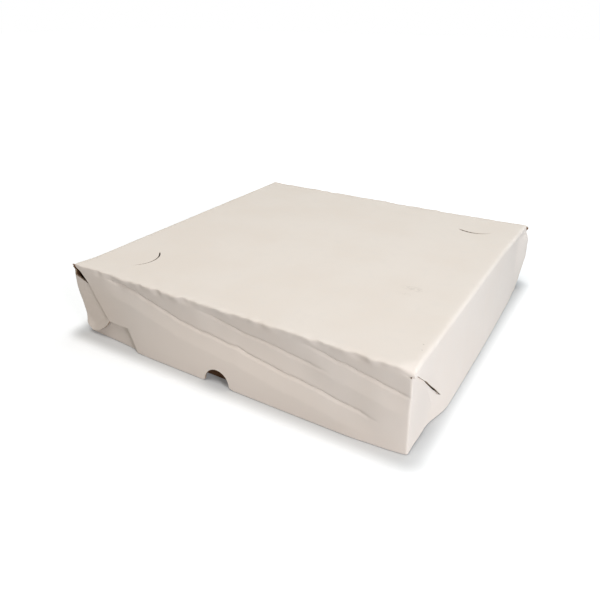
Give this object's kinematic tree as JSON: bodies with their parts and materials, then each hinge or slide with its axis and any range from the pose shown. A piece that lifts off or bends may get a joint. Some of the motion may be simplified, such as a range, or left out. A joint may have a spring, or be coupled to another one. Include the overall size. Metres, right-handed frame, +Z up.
{
  "type": "pastry box",
  "caption": "Shallow square pastry box: a folded white board lid with hooked corner ears and a thumb notch, closed over a folded base tray.",
  "frame": {"origin": "bottom centre of the closed box", "axes": "+Z up through the lid, which lifts that way; the wall with the thumb notch faces -Y; +X is to the right of it"},
  "size_m": [0.314, 0.308, 0.065],
  "materials": {
    "white_lined_board": "matt white liner, brown inside",
    "kraft_board": "matt brown kraft liner"
  },
  "bodies": {
    "base_tray": {"base": "kraft_board"},
    "lid_shell": {"lid": "white_lined_board"}
  },
  "joints": [
    {"name": "lid_lift", "type": "slide", "parent": "base_tray", "child": "lid_shell", "axis": [0, 0, 1], "range_m": [0, 0.13]}
  ]
}
